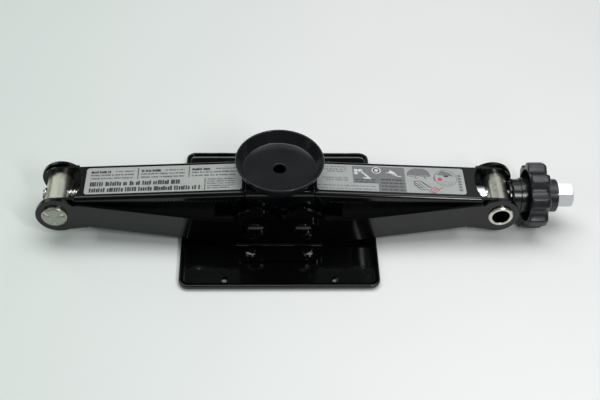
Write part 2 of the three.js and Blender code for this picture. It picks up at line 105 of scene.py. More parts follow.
TOOTH_STEP = 20.0                # degrees from one gear tooth to the next
TIP_R = PIVOT_X + 1.1
ROOT_R = PIVOT_X - 1.5


# -------------------- outlines

def arc(x, y, r, start, end, steps=12):
    """Points along an arc, both ends included. Angles are in degrees."""
    angles = [math.radians(start + (end - start) * i / steps) for i in range(steps + 1)]
    return [(x + r * math.cos(a), y + r * math.sin(a)) for a in angles]


def softened(points, radius, steps=3, least=25.0):
    """A closed outline with every corner that turns more than `least` degrees rounded off."""
    rounded = []
    for i, point in enumerate(points):
        here = Vector(point)
        before = Vector(points[i - 1]) - here
        after = Vector(points[(i + 1) % len(points)]) - here
        turn = math.pi - before.angle(after)
        if math.degrees(turn) < least:
            rounded.append(tuple(here))
            continue
        cut = min(radius * math.tan(turn / 2), 0.45 * before.length, 0.45 * after.length)
        start = here + before.normalized() * cut
        end = here + after.normalized() * cut
        for k in range(steps + 1):
            t = k / steps
            rounded.append(tuple(start * (1 - t) ** 2 + here * 2 * t * (1 - t) + end * t ** 2))
    return rounded


def smoothstep(t):
    t = max(0.0, min(1.0, t))
    return t * t * (3 - 2 * t)


# -------------------- meshes

def in_space(axis, a, p):
    """A point with coordinate a along the axis and p in the plane across it."""
    return {"x": (a, p[0], p[1]), "y": (p[0], a, p[1]), "z": (p[0], p[1], a)}[axis]


@contextmanager
def opened(mesh):
    """The mesh as a bmesh, which is written back at the end."""
    body = bmesh.new()
    body.from_mesh(mesh)
    yield body
    body.to_mesh(mesh)
    body.free()


def linked(mesh):
    """A new object in the scene, for a mesh."""
    made = bpy.data.objects.new("making", mesh)
    bpy.context.scene.collection.objects.link(made)
    return made


def mesh_object(vertices, faces):
    mesh = bpy.data.meshes.new("making")
    mesh.from_pydata([tuple(v) for v in vertices], [], faces)
    with opened(mesh) as body:
        bmesh.ops.remove_doubles(body, verts=body.verts, dist=1e-4)
        bmesh.ops.dissolve_degenerate(body, edges=body.edges, dist=1e-4)
        bmesh.ops.recalc_face_normals(body, faces=body.faces)
    return linked(mesh)


def ring_faces(count, pairs):
    """Faces that join pairs of rings, each of `count` points."""
    return [
        (a * count + i, a * count + (i + 1) % count, b * count + (i + 1) % count, b * count + i)
        for a, b in pairs for i in range(count)
    ]


def loft(rings, looped=False):
    """A closed mesh through rings of equally many points, capped at its ends unless it is looped."""
    count, last = len(rings[0]), len(rings) - 1
    vertices = [v for ring in rings for v in ring]
    pairs = [(k, k + 1) for k in range(last)]
    if looped:
        return mesh_object(vertices, ring_faces(count, [*pairs, (last, 0)]))
    caps = [tuple(range(count)), tuple(range(last * count, (last + 1) * count))]
    return mesh_object(vertices, ring_faces(count, pairs) + caps)


def prism(outline, axis, low, high):
    return loft([[in_space(axis, a, p) for p in outline] for a in (low, high)])


def bar(r, axis, low, high, centre=(0, 0), steps=64):
    return prism(arc(*centre, r, 0, 360, steps)[:-1], axis, low, high)


def turned(profile, axis, centre=(0.0, 0.0), steps=64, looped=False, radius=0.35):
    """A turned piece from a profile of (radius, place along the axis), with its corners softened."""
    if looped:
        profile = softened(profile, radius)
    else:
        profile = softened([(0.0, profile[0][1]), *profile, (0.0, profile[-1][1])], radius)[1:-1]
        profile = [p for p in profile if p[0] > 0.01]
    rings = []
    for r, a in profile:
        circle = arc(0, 0, r, 0, 360, steps)[:-1]
        rings.append([in_space(axis, a, (centre[0] + p, centre[1] + q)) for p, q in circle])
    return loft(rings, looped)


def applied(made):
    """The object with its modifiers made real in its mesh."""
    graph = bpy.context.evaluated_depsgraph_get()
    old = made.data
    made.data = bpy.data.meshes.new_from_object(made.evaluated_get(graph))
    made.modifiers.clear()
    bpy.data.meshes.remove(old)
    return made


def combined(made, tools, operation):
    for tool in tools:
        step = made.modifiers.new("join", "BOOLEAN")
        step.operation = operation
        step.solver = "EXACT"
        step.object = tool
        applied(made)
        bpy.data.objects.remove(tool)
    return made


def with_rolled_edges(made, width):
    """The object with its flat faces made whole and its sharp edges rolled over."""
    with opened(made.data) as body:
        bmesh.ops.remove_doubles(body, verts=body.verts, dist=0.02)
        bmesh.ops.dissolve_limit(
            body, angle_limit=math.radians(0.4), verts=body.verts, edges=body.edges, delimit={"NORMAL"},
        )
    step = made.modifiers.new("edges", "BEVEL")
    step.width = width
    step.segments = 2
    step.limit_method = "ANGLE"
    step.angle_limit = math.radians(32)
    return applied(made)


def joined(parts):
    """Several objects as one."""
    vertices, faces = [], []
    for part in parts:
        start = len(vertices)
        vertices += [tuple(v.co) for v in part.data.vertices]
        faces += [tuple(start + i for i in f.vertices) for f in part.data.polygons]
        bpy.data.objects.remove(part)
    mesh = bpy.data.meshes.new("making")
    mesh.from_pydata(vertices, [], faces)
    return linked(mesh)


def finished(made, name, material, body, nodes):
    """Names a piece, scales it to metres, gives it its material and ties it to the frame."""
    made.name = name
    made.data.transform(Matrix.Scale(MM, 4))
    for face in made.data.polygons:
        face.use_smooth = True
    made.data.set_sharp_from_angle(angle=math.radians(38))
    step = made.modifiers.new("normals", "WEIGHTED_NORMAL")
    step.keep_sharp = True
    applied(made)
    made.data.name = name
    made.data.materials.clear()
    made.data.materials.append(material)
    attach(made, body)
    if nodes:
        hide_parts(*nodes)
    return made


# -------------------- materials

class Surface:
    """A node material on one Principled shader, built up a layer at a time."""

    def __init__(self, name, color, roughness, metallic=0.0, specular=0.5):
        self.material = bpy.data.materials.new(name)
        self.material.use_nodes = True
        self.tree = self.material.node_tree
        self.shader = self.tree.nodes["Principled BSDF"]
        self.place = self.tree.nodes.new("ShaderNodeTexCoord").outputs["Object"]
        self.height = None
        self.set("Base Color", (*color, 1.0))
        self.set("Roughness", roughness)
        self.set("Metallic", metallic)
        self.set("Specular IOR Level", specular)

    def set(self, socket, value):
        self.shader.inputs[socket].default_value = value

    def link(self, output, socket):
        self.tree.links.new(output, socket)

    def noise(self, size, detail=3.0, stretch=(1, 1, 1), roughness=0.55, distortion=0.0):
        """Noise whose features are about `size` millimetres across, longer along a stretched axis."""
        mapping = self.tree.nodes.new("ShaderNodeMapping")
        mapping.inputs["Scale"].default_value = [1 / s for s in stretch]
        texture = self.tree.nodes.new("ShaderNodeTexNoise")
        texture.inputs["Scale"].default_value = 1 / (size * MM)
        texture.inputs["Detail"].default_value = detail
        texture.inputs["Roughness"].default_value = roughness
        texture.inputs["Distortion"].default_value = distortion
        self.link(self.place, mapping.inputs["Vector"])
        self.link(mapping.outputs["Vector"], texture.inputs["Vector"])
        return texture.outputs["Fac"]

    def levels(self, value, low, high, out_low=0.0, out_high=1.0):
        """A value spread from low..high to out_low..out_high, and held at the ends."""
        node = self.tree.nodes.new("ShaderNodeMapRange")
        self.link(value, node.inputs["Value"])
        limits = {"From Min": low, "From Max": high, "To Min": out_low, "To Max": out_high}
        for socket, number in limits.items():
            node.inputs[socket].default_value = number
        return node.outputs["Result"]

    def coordinate(self, axis):
        """How far each point is along X, Y or Z, in metres."""
        split = self.tree.nodes.new("ShaderNodeSeparateXYZ")
        self.link(self.place, split.inputs["Vector"])
        return split.outputs[axis]

    def math(self, operation, a, b=0.0):
        node = self.tree.nodes.new("ShaderNodeMath")
        node.operation = operation
        for socket, value in zip(node.inputs, (a, b)):
            if isinstance(value, (int, float)):
                socket.default_value = value
            else:
                self.link(value, socket)
        return node.outputs["Value"]

    def tint(self, amount, color):
        """Mixes a colour over what the base colour is so far."""
        socket = self.shader.inputs["Base Color"]
        node = self.tree.nodes.new("ShaderNodeMix")
        node.data_type = "RGBA"
        if socket.is_linked:
            self.link(socket.links[0].from_socket, node.inputs[6])
        else:
            node.inputs[6].default_value = socket.default_value
        node.inputs[7].default_value = (*color, 1.0)
        self.link(amount, node.inputs["Factor"])
        self.link(node.outputs[2], socket)

    def rough(self, value):
        self.link(value, self.shader.inputs["Roughness"])

    def bump(self, height, depth):
        """Adds relief of `depth` millimetres on top of any that is there."""
        node = self.tree.nodes.new("ShaderNodeBump")
        node.inputs["Strength"].default_value = 1.0
        node.inputs["Distance"].default_value = depth * MM
        self.link(height, node.inputs["Height"])
        if self.height is not None:
            self.link(self.height, node.inputs["Normal"])
        self.height = node.outputs["Normal"]
        self.link(self.height, self.shader.inputs["Normal"])


def enamel(name, color, roughness, spread, peel, wave, dust, specular=0.5):
    """Black paint: an orange-peel skin over slow waves, with a little dust and paler clouds."""
    paint = Surface(name, color, roughness, specular=specular)
    patches = paint.noise(22, detail=4)
    paint.rough(paint.levels(patches, 0.35, 0.7, roughness - spread / 2, roughness + spread / 2))
    lint = paint.levels(paint.noise(0.9, detail=1, roughness=0.3), 0.73, 0.8)
    paint.tint(paint.math("MULTIPLY", lint, dust), (0.12, 0.12, 0.11))
    paint.tint(paint.levels(paint.noise(60, detail=2), 0.3, 0.75, 0.0, 0.6), [c * 1.6 for c in color])
    paint.bump(paint.noise(26, detail=1), wave)
    paint.bump(paint.noise(1.6, detail=1), peel)
    return paint


def gloss_enamel():
    """Thick glossy paint with a few soft runs."""
    paint = enamel("black_gloss_enamel", (0.0010, 0.0011, 0.0013), 0.10, 0.05, 0.004, 0.10, 0.12)
    paint.bump(paint.levels(paint.noise(9, detail=2, distortion=0.6), 0.52, 0.68), 0.03)
    return paint.material


def knob_plastic():
    plastic = Surface("charcoal_plastic", (0.012, 0.012, 0.015), 0.33)
    plastic.rough(plastic.levels(plastic.noise(8), 0.35, 0.7, 0.27, 0.4))
    plastic.tint(plastic.levels(plastic.noise(5, detail=5), 0.5, 0.72, 0.0, 0.5), (0.022, 0.022, 0.027))
    plastic.bump(plastic.noise(0.45, detail=2), 0.008)
    return plastic.material


def zinc(name, color, tinge, roughness, grain_axis):
    """Plated metal, turned or drawn across one axis, with clouds of passivation colour."""
    metal = Surface(name, color, roughness, metallic=1.0)
    metal.tint(metal.levels(metal.noise(7, detail=4), 0.4, 0.65, 0.0, 0.8), tinge)
    metal.tint(metal.levels(metal.noise(1.1, detail=5), 0.64, 0.78, 0.0, 0.3), [c * 0.55 for c in color])
    metal.rough(metal.levels(metal.noise(3, detail=2), 0.3, 0.7, roughness - 0.04, roughness + 0.06))
    stretch = [0.06 if axis == grain_axis else 1.0 for axis in "xyz"]
    metal.bump(metal.noise(3, detail=1, stretch=stretch), 0.004)
    return metal


def staked_zinc():
    """The left pin's plating, dull and bruised where its ends were hammered over."""
    metal = zinc("staked_yellow_zinc", (0.60, 0.62, 0.50), (0.68, 0.69, 0.62), 0.36, "y")
    out = metal.math("ABSOLUTE", metal.coordinate("Y"))
    ends = metal.levels(out, (PIN_END - 1.6) * MM, (PIN_END - 0.9) * MM)
    bruises = metal.levels(metal.noise(0.9, detail=3), 0.35, 0.6, 0.55, 1.0)
    metal.tint(metal.math("MULTIPLY", ends, bruises), (0.33, 0.34, 0.30))
    worn = metal.shader.inputs["Roughness"].links[0].from_socket
    metal.rough(metal.math("MAXIMUM", worn, metal.math("MULTIPLY", ends, 0.5)))
    return metal.material


def bored_zinc():
    """The right pin's plating, with painted shade darkening its bores."""
    metal = zinc("bored_yellow_zinc", (0.60, 0.60, 0.52), (0.66, 0.67, 0.61), 0.30, "y")
    across = metal.math("SUBTRACT", metal.coordinate("X"), TRUNNION_X * MM)
    above = metal.math("SUBTRACT", metal.coordinate("Z"), TRUNNION_Z * MM)
    squared = metal.math("ADD", metal.math("MULTIPLY", across, across), metal.math("MULTIPLY", above, above))
    from_axis = metal.math("SQRT", squared)
    # Painted shade: the bores are coloured nearly black inside, where shade falls.
    inside = metal.levels(from_axis, (TRUNNION_BORE_R + 0.3) * MM, TRUNNION_BORE_R * MM)
    metal.tint(inside, (0.012, 0.014, 0.010))
    return metal.material


def foil():
    sticker = Surface("silver_foil", (0.47, 0.49, 0.48), 0.36, metallic=0.35)
    sticker.tint(sticker.levels(sticker.noise(30, detail=2), 0.35, 0.7, 0.0, 0.5), (0.40, 0.42, 0.41))
    sticker.rough(sticker.levels(sticker.noise(4, detail=4), 0.35, 0.65, 0.3, 0.42))
    sticker.bump(sticker.noise(14, detail=1), 0.05)
    return sticker.material


def ink(name, color):
    print_layer = Surface(name, color, 0.5)
    patches = print_layer.noise(1.2, detail=4)
    worn = [min(1, c * 1.6 + 0.02) for c in color]
    print_layer.tint(print_layer.levels(patches, 0.45, 0.7, 0.0, 0.35), worn)
    print_layer.rough(print_layer.levels(patches, 0.3, 0.7, 0.42, 0.58))
    return print_layer.material


GLOSS = gloss_enamel()
SATIN = enamel("black_satin_enamel", (0.0014, 0.0015, 0.0016), 0.17, 0.05, 0.004, 0.06, 0.15, 0.42).material
SADDLE = enamel("saddle_enamel", (0.0095, 0.0100, 0.0115), 0.22, 0.06, 0.006, 0.05, 0.2).material
BEARING = enamel("bearing_enamel", (0.009, 0.0095, 0.010), 0.21, 0.06, 0.004, 0.04, 0.2).material
PLASTIC = knob_plastic()
STAKED_ZINC = staked_zinc()
BORED_ZINC = bored_zinc()
WHITE_ZINC = zinc("white_zinc", (0.70, 0.72, 0.74), (0.64, 0.66, 0.69), 0.30, "x").material
STEEL = zinc("screw_steel", (0.62, 0.62, 0.60), (0.50, 0.49, 0.46), 0.26, "x").material
FOIL = foil()
INKS = {
    "black": ink("black_ink", (0.022, 0.024, 0.025)),
    "gray": ink("gray_ink", (0.165, 0.17, 0.175)),
    "pale": ink("pale_ink", (0.62, 0.64, 0.65)),
    "red": ink("red_ink", (0.48, 0.07, 0.09)),
}


# -------------------- base

def base_plate():
    """A pressed tray: a fine sheet with beads and dimples, and a rolled lip round it."""
    high = corners("base_plate")[1]
    floor_z = 2.5
    corner = 8.0
    spacing = 1.25
    bead_x, bead_end, bead_half = 66, 54.5, 5.6
    dimple_x, dimple_y, dimple_half = 45, 69.5, 2.2
    x_end, y_end = high.x - corner, high.y - corner
    columns = round(2 * x_end / spacing)
    rows = round(2 * y_end / spacing)
    xs = [-x_end + 2 * x_end * i / columns for i in range(columns + 1)]
    ys = [-y_end + 2 * y_end * i / rows for i in range(rows + 1)]

    def height(x, y):
        from_bead = math.hypot(abs(x) - bead_x, max(0.0, abs(y) - bead_end))
        from_dimple = math.hypot(abs(x) - dimple_x, abs(y) - dimple_y)
        bead = 0.25 * smoothstep((bead_half - from_bead) / 5)
        dimple = 0.6 * smoothstep((dimple_half - from_dimple) / 1.4)
        buckle = noise.noise(Vector((x / 40, y / 40, 2.0))) * 0.14
        return floor_z + (bead + dimple) + buckle

    def ring(inset, z):
        r = corner - inset
        bend = 8
        path = [(x, -y_end - r) for x in xs]
        path += arc(x_end, -y_end, r, -90, 0, bend)[1:-1] + [(x_end + r, y) for y in ys]
        path += arc(x_end, y_end, r, 0, 90, bend)[1:-1] + [(x, y_end + r) for x in reversed(xs)]
        path += arc(-x_end, y_end, r, 90, 180, bend)[1:-1] + [(-x_end - r, y) for y in reversed(ys)]
        path += arc(-x_end, -y_end, r, 180, 270, bend)[1:-1]
        points = []
        for x, y in path:
            lifted = smoothstep((z - floor_z) / 2.5)
            ripple = 0.25 * (1 - noise.noise(Vector((x / 11, y / 11, 5.0)))) * lifted
            ripple += 0.11 * (1 - noise.noise(Vector((x / 2.9, y / 2.9, 9.0)))) * lifted
            blend = max(0.0, min(1.0, (inset - 3) / 5)) if z >= floor_z else 0.0
            level = z + blend * (height(x, y) - floor_z)
            points.append((x, y, level - ripple))
        return points

    lip = [
        (8.0, 2.5), (6.6, 2.5), (5.4, 2.52), (4.4, 2.64), (3.6, 2.95), (3.0, 3.4), (2.6, 3.95), (2.35, 4.55),
        (2.05, 5.1), (1.6, 5.42), (1.1, 5.5), (0.6, 5.38), (0.2, 5.0), (0.0, 4.4), (0.0, 2.7),
        (0.2, 1.6), (0.8, 0.65), (1.7, 0.15), (2.8, 0.0),
    ]
    rings = [ring(inset, z) for inset, z in lip]
    count, last = len(rings[0]), len(rings) - 1
    vertices = [v for points in rings for v in points]
    faces = ring_faces(count, [(k, k + 1) for k in range(last)])
    faces.append(tuple(range(last * count, (last + 1) * count)))
    start = len(vertices)
    vertices += [(x, y, height(x, y)) for x in xs for y in ys]
    across = rows + 1
    for i in range(columns):
        for j in range(rows):
            k = start + i * across + j
            faces.append((k, k + 1, k + across + 1, k + across))
    return mesh_object(vertices, faces)


def base_bracket(face):
    """An angle bracket bent from sheet: an upright with two pivot holes, and a foot turned outwards."""
    low, high = corners("base_bracket_back")
    bottom, top = low.z, high.z
    thick = 3.0
    foot = bottom + SHEET
    inside, outside, toe = low.y, low.y + thick, high.y
    angle = [
        (inside, top + 1), (inside, bottom + BEND_R),
        *arc(inside + BEND_R, bottom + BEND_R, BEND_R, 180, 270, 6),
        (toe, bottom), (toe, foot),
        *arc(outside + 1.8, foot + 1.8, 1.8, 270, 180, 5),
        (outside, top + 1),
    ]
    outline = [
        (low.x, bottom - 1), (high.x, bottom - 1), (high.x, 9), *arc(26, top - 7.5, 7.5, 20, 90, 8),
        *arc(-26, top - 7.5, 7.5, 90, 160, 8), (low.x, 9),
    ]
    made = prism(angle, "x", low.x - 1, high.x + 1)
    combined(made, [prism(softened(outline, 2.5), "y", inside - 5, toe + 5)], "INTERSECT")
    for _, side in SIDES:
        corner = arc(side * 30, toe - 6, 6, 0 if side > 0 else 180, 90, 8)
        cutter = [
            (side * 36, outside - 0.01), *corner, (side * 30, toe + 5), (side * 60, toe + 5),
            (side * 60, outside - 0.01),
        ]
        combined(made, [prism(cutter, "z", bottom - 5, foot + 20)], "DIFFERENCE")
        hole = bar(SHANK_R + 0.1, "y", inside - 5, toe + 5, (side * PIVOT_X, BASE_PIVOT_Z), 40)
        combined(made, [hole], "DIFFERENCE")
    with_rolled_edges(made, EDGE_R)
    if face < 0:
        made.data.transform(Matrix.Rotation(math.pi, 4, "Z"))
    return made


def foot_rivet(node):
    low, high = corners(node)
    centre = ((low.x + high.x) / 2, (low.y + high.y) / 2)
    head_r = 5.6
    seat = high.z - 2.0
    dome = [(head_r, seat), (head_r, seat + 0.35), (head_r * 0.9, seat + 0.95), (head_r * 0.7, seat + 1.5)]
    dome += [(head_r * 0.4, high.z - 0.12), (0.6, high.z)]
    profile = [(3.0, low.z), (3.0, seat), *dome]
    return turned(profile, "z", centre, 40, radius=0.5)


def pivot_rivet(node, face, z):
    """A pivot rivet: domed head outside, flat upset tail inside, joined by its shank."""
    low, high = corners(node)
    x = (low.x + high.x) / 2
    head_r = (high.x - low.x) / 2
    outer, inner = (high.y, low.y) if face > 0 else (-low.y, -high.y)
    base = outer - 2.4 if head_r > 6.5 else outer - 1.8
    rise = outer - base
    profile = [
        (4.6, inner), (6.0, inner + 0.5), (6.0, inner + 1.4), (SHANK_R, inner + 1.5), (SHANK_R, base),
        (head_r, base), (head_r, base + 0.25 * rise), (head_r * 0.86, base + 0.62 * rise),
        (head_r * 0.6, base + 0.88 * rise), (head_r * 0.3, outer - 0.04), (0.6, outer),
    ]
    return turned([(r, face * a) for r, a in profile], "y", (x, z), 48, radius=0.4)


def add_base():
    finished(base_plate(), "pressed_base_plate", GLOSS, "base", ["base_plate"])
    for face_name, face in FACES:
        node = f"base_bracket_{face_name}"
        finished(base_bracket(face), f"bent_{node}", GLOSS, "base", [node])
        for side_name, _ in SIDES:
            node = f"foot_rivet_{face_name}_{side_name}"
            finished(foot_rivet(node), f"domed_{node}", GLOSS, "base", [node])
            node = f"base_pivot_rivet_{face_name}_{side_name}"
            rivet = pivot_rivet(node, face, BASE_PIVOT_Z)
            finished(rivet, f"domed_{node}", GLOSS, "base", [node])


# -------------------- arms

def tooth(height, middle, direction):
    """One stub gear tooth about a pivot, as points in (reach, height)."""
    root_half, tip_half = 6.1, 2.9
    marks = ((ROOT_R, -root_half), (TIP_R, -tip_half), (TIP_R, tip_half), (ROOT_R, root_half))
    angles = [(r, math.radians(middle + direction * offset)) for r, offset in marks]
    return [(REACH + r * math.cos(a), height + r * math.sin(a)) for r, a in angles]


def teeth(side, height, direction):
    """The left arms' first tooth points straight inwards, and the right arms' meet its gaps."""
    first, count = (0.0, 5) if side < 0 else (TOOTH_STEP / 2, 4)
    points = []
    for i in range(count):
        points += tooth(height, direction * (first + i * TOOTH_STEP), direction)
    return points


def lower_outline(side):
    return [
        *arc(*LOWER_EAR_CENTRE, LOWER_EAR_R, 40, 297, 44),
        (24.6, -14.6), (25.4, lower_web(25.4)), (135, lower_web(135)),
        *arc(REACH, -PIVOT_DROP, ROOT_R, -90, -14, 10),
        *softened(teeth(side, -PIVOT_DROP, 1), 0.5, 2)[2:-2],
        *arc(REACH, -PIVOT_DROP, PIVOT_X, 92, 160, 12),
        (140.5, 0.4), (132, 1.2), (123, 1.8), (25, 9.9),
    ]


def upper_top(reach):
    """Height of an upper arm's web above its trunnion's axis."""
    return 14.6 + reach * 8 / REACH


UPPER_FLANGE = 6.0               # depth of the flanges, from the top of the web
UPPER_WEB = (17.0, 156.0)        # reach at the web's ends


def upper_outline(side):
    start, end = UPPER_WEB
    return [
        *arc(0, 0, 14.5, 336, 90, 30), (start, upper_top(start)), (end, upper_top(end)),
        *arc(REACH, PIVOT_DROP, 16.5, 90, 8, 8),
        *softened(teeth(side, PIVOT_DROP, -1), 0.5, 2)[2:-2],
        *arc(REACH, PIVOT_DROP, ROOT_R, -92, -160, 10),
        (145, upper_top(145) - UPPER_FLANGE - 4), (141, upper_top(141) - UPPER_FLANGE),
        (34, upper_top(34) - UPPER_FLANGE),
    ]


def lower_half_width(reach):
    """A lower arm is narrow at its ears and flares towards the base."""
    return LOWER_EAR_OUT + (LOWER_BASE_OUT - LOWER_EAR_OUT) * max(0.0, min(1.0, (reach - 25) / 98))


def lower_web(reach):
    return -16.4 - (reach - 25) * 10.2 / 110


def channel(side, stations, half_width, web, up):
    """A bent channel lofted along the arm. Its flanges rise from the web where up is 1, or hang from it."""
    inside = ARM_BEND_R - SHEET
    rings = []
    for reach in stations:
        half, base = half_width(reach), web(reach)
        far, middle = base + up * TALL, half - ARM_BEND_R

        def bend(y, r, start, end, steps):
            return [(p, base + up * q) for p, q in arc(y, ARM_BEND_R, r, start, end, steps)]

        section = [
            (-half, far), *bend(-middle, ARM_BEND_R, 180, 270, 7), *bend(middle, ARM_BEND_R, 270, 360, 7),
            (half, far), (half - SHEET, far), *bend(middle, inside, 360, 270, 5),
            *bend(-middle, inside, 270, 180, 5), (SHEET - half, far),
        ]
        x = side * (TRUNNION_X - reach)
        rings.append([(x, y, TRUNNION_Z + z) for y, z in section])
    return loft(rings)


def flange_plates(side, stretches, half_width):
    """Flat plates that carry the flanges on past the ends of the web."""
    plates = []
    for start, end in stretches:
        for _, face in FACES:
            rings = []
            for reach in (start, end):
                x, outer = side * (TRUNNION_X - reach), half_width(reach)
                section = [(outer, -TALL), (outer, TALL), (outer - SHEET, TALL), (outer - SHEET, -TALL)]
                rings.append([(x, face * y, TRUNNION_Z + z) for y, z in section])
            plates.append(loft(rings))
    return plates


def arm(side, outline, body, plates, pivot_z):
    """Joins a channel and its end plates, trims them to the side outline and drills the pivots."""
    combined(body, plates, "UNION")
    trim = [(side * (TRUNNION_X - reach), TRUNNION_Z + z) for reach, z in outline]
    combined(body, [prism(trim, "y", -TALL, TALL)], "INTERSECT")
    combined(body, [
        bar(TRUNNION_R + 0.2, "y", -TALL, TALL, (side * TRUNNION_X, TRUNNION_Z)),
        bar(SHANK_R + 0.15, "y", -TALL, TALL, (side * PIVOT_X, pivot_z), 40),
    ], "DIFFERENCE")
    return with_rolled_edges(body, EDGE_R)


def lower_arm(side):
    body = channel(side, (25, 123, 130), lower_half_width, lower_web, 1)
    plates = flange_plates(side, [(-20, 25.3), (129.7, 190)], lower_half_width)
    return arm(side, lower_outline(side), body, plates, BASE_PIVOT_Z)


def upper_arm(side):
    start, end = UPPER_WEB
    body = channel(side, (start - 1, end), lambda reach: UPPER_OUT, upper_top, -1)
    notch = arc(side * (TRUNNION_X + 15.7), 0, 36.4, 0, 360, 96)[:-1]
    combined(body, [prism(notch, "z", 0, 2 * TALL)], "DIFFERENCE")
    plates = flange_plates(side, [(-20, start + 0.3), (end - 0.3, 190)], lambda reach: UPPER_OUT)
    return arm(side, upper_outline(side), body, plates, HEAD_PIVOT_Z)


def add_arms():
    for name, side in SIDES:
        for kind, made in (("lower", lower_arm), ("upper", upper_arm)):
            node = f"{kind}_arm_{name}"
            finished(made(side), f"bent_{node}", SATIN, f"{name}_{kind}_arm", [node])


# -------------------- head and saddle

def head_bracket():
    low, high = corners("head_bracket")
    crown = high.z
    inner_r = BEND_R - SHEET
    section = [
        (-HEAD_OUT, 0), (-HEAD_OUT, crown - BEND_R),
        *arc(BEND_R - HEAD_OUT, crown - BEND_R, BEND_R, 180, 90, 7),
        *arc(HEAD_OUT - BEND_R, crown - BEND_R, BEND_R, 90, 0, 7), (HEAD_OUT, 0), (HEAD_OUT - SHEET, 0),
        *arc(HEAD_OUT - BEND_R, crown - BEND_R, inner_r, 0, 90, 5),
        *arc(BEND_R - HEAD_OUT, crown - BEND_R, inner_r, 90, 180, 5), (SHEET - HEAD_OUT, 0),
    ]
    cheek = [
        (low.x, crown + 1), (high.x, crown + 1), (high.x, 40), *arc(PIVOT_X, HEAD_PIVOT_Z, 9.5, 10, -90, 12),
        *arc(-PIVOT_X, HEAD_PIVOT_Z, 9.5, -90, -190, 12), (low.x, 40),
    ]
    made = prism(section, "x", low.x - 1, high.x + 1)
    combined(made, [prism(cheek, "y", -TALL, TALL)], "INTERSECT")
    combined(made, [
        bar(SHANK_R + 0.1, "y", -TALL, TALL, (side * PIVOT_X, HEAD_PIVOT_Z), 40) for _, side in SIDES
    ] + [bar(5.5, "z", crown - 10, crown + 5, (0, 0), 40)], "DIFFERENCE")
    return with_rolled_edges(made, EDGE_R)


def saddle_cup():
    """A round pressed dish with a flared wall, a plain centre hole and a rounded rim."""
    low, high = corners("saddle_cup")
    rim, rim_z, bottom = high.x, high.z, low.z
    floor_z, floor_r = 61.5, 30.3
    hole = 5.5
    profile = [
        (hole, bottom), (floor_r - 0.8, bottom), (floor_r + 0.6, bottom + 0.4), (floor_r + 1.4, bottom + 1.3),
        (rim, rim_z - 0.8), (rim - 0.5, rim_z), (rim - 1.6, rim_z), (rim - 2.0, rim_z - 0.7),
        (floor_r + 0.5, floor_z + 1.0), (floor_r - 0.1, floor_z + 0.25), (floor_r - 1.0, floor_z),
        (hole, floor_z),
    ]
    return turned(profile, "z", steps=128, looped=True, radius=0.5)


def add_head():
    finished(head_bracket(), "bent_head_bracket", GLOSS, "head", ["head_bracket"])
    finished(saddle_cup(), "pressed_saddle_cup", SADDLE, "head", ["saddle_cup"])
    for face_name, face in FACES:
        for side_name, side in SIDES:
            node = f"head_pivot_rivet_{face_name}_{side_name}"
            rivet = pivot_rivet(node, face, HEAD_PIVOT_Z)
            finished(rivet, f"domed_{node}", GLOSS, "head", [node])
            node = f"head_spacer_{face_name}_{side_name}"
            low, high = corners(node)
            ring = [(SHANK_R + 0.1, low.y), (8, low.y), (8, high.y), (SHANK_R + 0.1, high.y)]
            washer = turned(ring, "y", (side * PIVOT_X, HEAD_PIVOT_Z), 40, looped=True)
            finished(washer, f"turned_{node}", SATIN, "head", [node])


# -------------------- trunnions

def left_trunnion():
    """A solid pin, tapped across for the screw, its ends hammered over and staked."""
    low, high = corners("trunnion_nut_left")
    centre = ((low.x + high.x) / 2, TRUNNION_Z)
    end = high.y
    steps = 96
    stakes, stake_turn = 3, 5        # how many, and their turn in radians
    profile = (                      # radius, and how far it lies below the end
        (0.8, 0.25), (3.2, 0.2), (5.4, 0.3), (7.6, 0.35), (8.9, 0.5), (9.7, 0.95), (TRUNNION_R, 1.7),
    )
    rings = []
    for face in (-1, 1):
        for r, sunk in profile if face < 0 else reversed(profile):
            ring = []
            for i, p in enumerate(arc(*centre, r, 0, 360, steps)[:-1]):
                turn = 2 * math.pi * i / steps
                dent = noise.noise(Vector((p[0] / 2.6, p[1] / 2.6, 7.0 * face))) * 0.32
                stake = 0.0
                if 5 < r < 9:
                    stake = 0.9 * smoothstep((math.cos(stakes * turn + stake_turn) - 0.72) / 0.2)
                inner = dent if r < 9.5 else 0.0
                ring.append(in_space("y", face * (end - sunk - stake + min(inner, 0.15)), p))
            rings.append(ring)
    made = loft(rings)
    combined(made, [bar(CROSS_HOLE_R, "x", low.x - 5, high.x + 5, (0, TRUNNION_Z))], "DIFFERENCE")
    return made


def right_trunnion():
    """A pin turned hollow at both ends, crossed by the screw, with a flat for the thrust washer."""
    low, high = corners("trunnion_right")
    end = high.y
    bore, depth = TRUNNION_BORE_R, 16.0
    profile = [
        (bore - 0.6, -end + depth), (bore, -end + depth - 0.6), (bore, 0.5 - end), (bore + 0.5, -end),
        (TRUNNION_R - 0.9, -end), (TRUNNION_R, 0.9 - end), (TRUNNION_R, end - 0.9), (TRUNNION_R - 0.9, end),
        (bore + 0.5, end), (bore, end - 0.5), (bore, end - depth + 0.6), (bore - 0.6, end - depth),
    ]
    made = turned(profile, "y", (TRUNNION_X, TRUNNION_Z), 96, radius=0.25)
    hole = bar(CROSS_HOLE_R, "x", low.x - 5, high.x + 15, (0, TRUNNION_Z))
    face, half = corners("thrust_washer")[0].x - GAP, 14.5
    flat = prism([(face, -half), (face + 8, -half), (face + 8, half), (face, half)], "z", 0, TALL)
    return combined(made, [hole, flat], "DIFFERENCE")


def add_trunnions():
    pin = left_trunnion()
    finished(pin, "staked_trunnion_left", STAKED_ZINC, "left_trunnion", ["trunnion_nut_left"])
    pin = right_trunnion()
    finished(pin, "bored_trunnion_right", BORED_ZINC, "right_trunnion", ["trunnion_right"])


# -------------------- screw, bearing and knob

